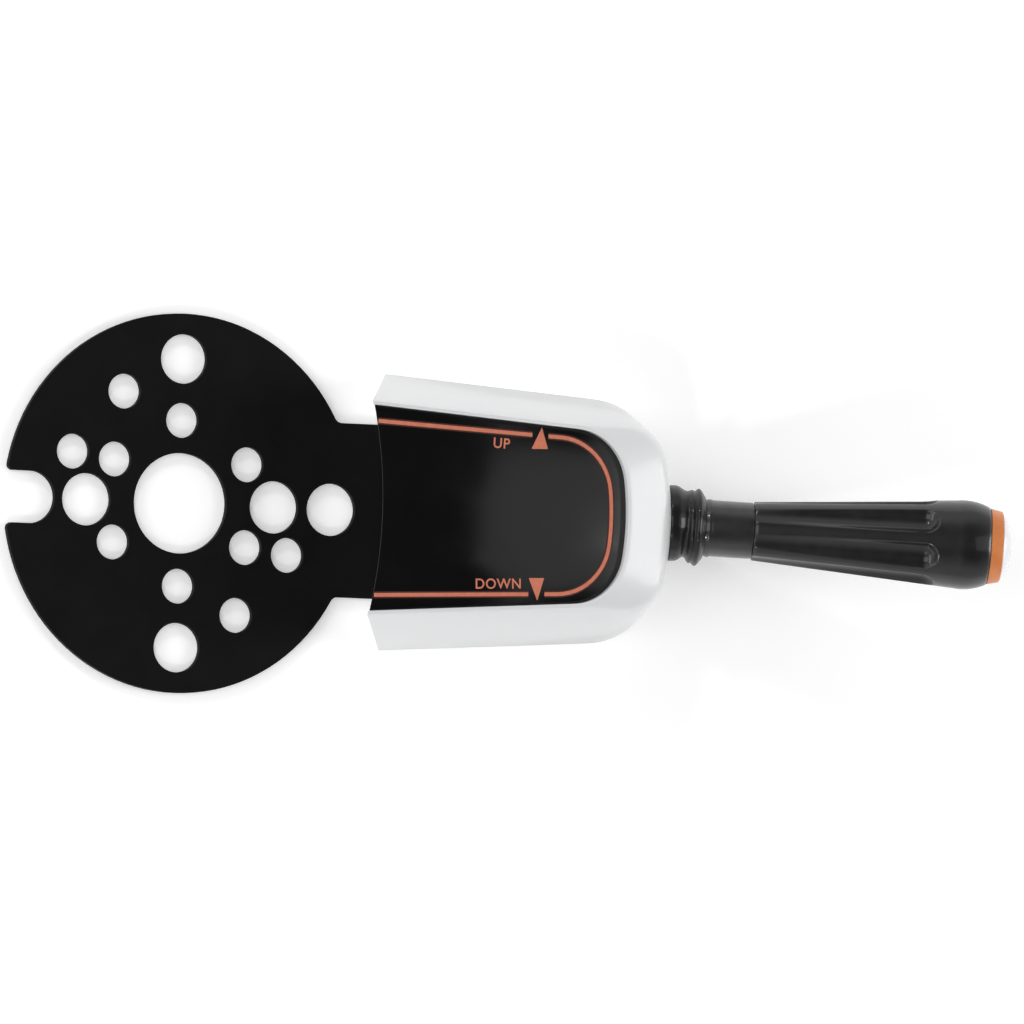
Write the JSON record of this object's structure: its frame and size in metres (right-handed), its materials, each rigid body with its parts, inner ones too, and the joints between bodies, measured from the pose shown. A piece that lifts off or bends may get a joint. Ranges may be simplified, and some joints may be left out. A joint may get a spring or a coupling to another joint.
{
  "type": "trim control lever switch",
  "caption": "Helm plate with a moulded housing and a sprung rocker lever that works an up or down trim switch.",
  "frame": {"origin": "centre of the helm shaft hole on the back face of the mounting plate", "axes": "+X from the shaft hole towards the lever, +Y to the trim-up side, +Z out of the helm towards the driver"},
  "size_m": [0.3768, 0.138, 0.0661],
  "materials": {
    "plate_black": "satin powder coat",
    "shell_white": "gloss",
    "panel_black": "high gloss",
    "rubber": "satin",
    "sleeve_black": "satin",
    "grip_black": "satin",
    "accent_orange": "satin",
    "cap_white": "gloss",
    "zinc_steel": "zinc plated",
    "stainless": "machined",
    "bronze": "sintered bronze",
    "contact_brass": "bright",
    "case_nylon": "moulded",
    "carriage_acetal": "moulded",
    "cover_black": "moulded",
    "core_nylon": "moulded"
  },
  "bodies": {
    "base": {"mounting_plate": "plate_black", "housing_shell": "shell_white", "face_panel": "panel_black", "panel_push_nuts": "zinc_steel", "back_cover": "cover_black", "cover_gasket": "rubber", "wire_grommet": "rubber", "cover_screws": "stainless", "tongue_screws": "stainless", "pivot_bracket": "zinc_steel", "bracket_screws": "stainless", "pivot_pin": "stainless", "pivot_pin_clip": "zinc_steel", "lever_boot": "rubber", "boot_retainer": "core_nylon", "switch_case": "case_nylon", "switch_case_lid": "case_nylon", "case_screws": "stainless", "terminal_up": "contact_brass", "terminal_common": "contact_brass", "terminal_down": "contact_brass", "return_spring_upper": "stainless", "return_spring_lower": "stainless"},
    "lever": {"lever_arm": "zinc_steel", "upper_bush": "bronze", "lower_bush": "bronze", "drive_pin": "stainless", "neck_sleeve": "sleeve_black", "grip": "grip_black", "grip_core": "core_nylon", "grip_washer": "zinc_steel", "grip_screw": "stainless", "accent_ring": "accent_orange", "end_cap": "cap_white"},
    "carriage": {"contact_carriage": "carriage_acetal", "moving_contact": "contact_brass"}
  },
  "joints": [
    {"name": "lever_hinge", "type": "hinge", "parent": "base", "child": "lever", "pos_m": [0.164, 0, 0], "axis": [0, 0, 1], "range_deg": [-5.8, 10.2], "stiffness_Nm_per_rad": 6, "deforming": ["lever_boot"]},
    {"name": "carriage_slide", "type": "slide", "parent": "base", "child": "carriage", "axis": [0, 1, 0], "range_m": [-0.0043, 0.00245], "deforming": ["return_spring_upper", "return_spring_lower"]}
  ],
  "couplings": [
    {"joint": "carriage_slide", "follows": "lever_hinge", "m_per_rad": -0.02398}
  ]
}
